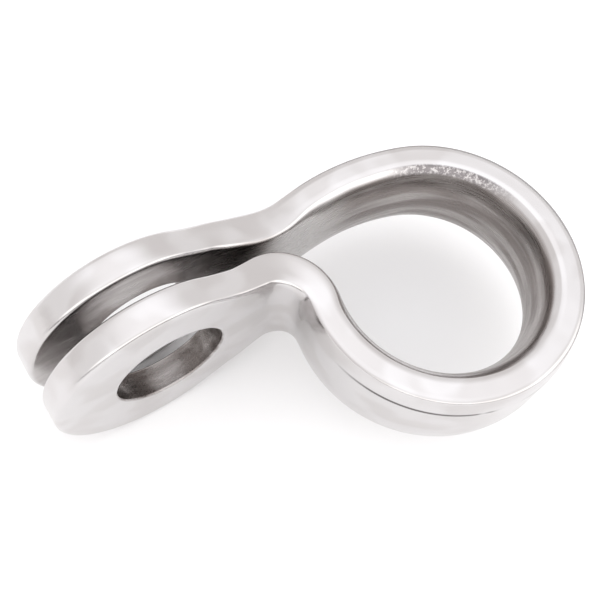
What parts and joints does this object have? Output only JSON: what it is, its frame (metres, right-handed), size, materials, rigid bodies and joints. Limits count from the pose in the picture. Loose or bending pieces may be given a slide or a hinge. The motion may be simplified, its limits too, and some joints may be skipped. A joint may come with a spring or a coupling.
{
  "type": "thimble eye",
  "caption": "Flat polished strip bent into a round eye, with a pair of parallel round lugs drilled through for a clevis pin.",
  "frame": {"origin": "on the axis of the pin hole, half way between the two lugs", "axes": "+X from the lugs towards the eye, +Y along the pin hole towards the straight back leg, +Z along the axis of the eye"},
  "size_m": [0.0521, 0.0294, 0.0208],
  "materials": {
    "polished_steel": "polished stainless steel, slightly uneven from hand finishing, with softly rounded edges"
  },
  "bodies": {
    "root": {"eye_strip": "polished_steel"}
  },
  "joints": []
}
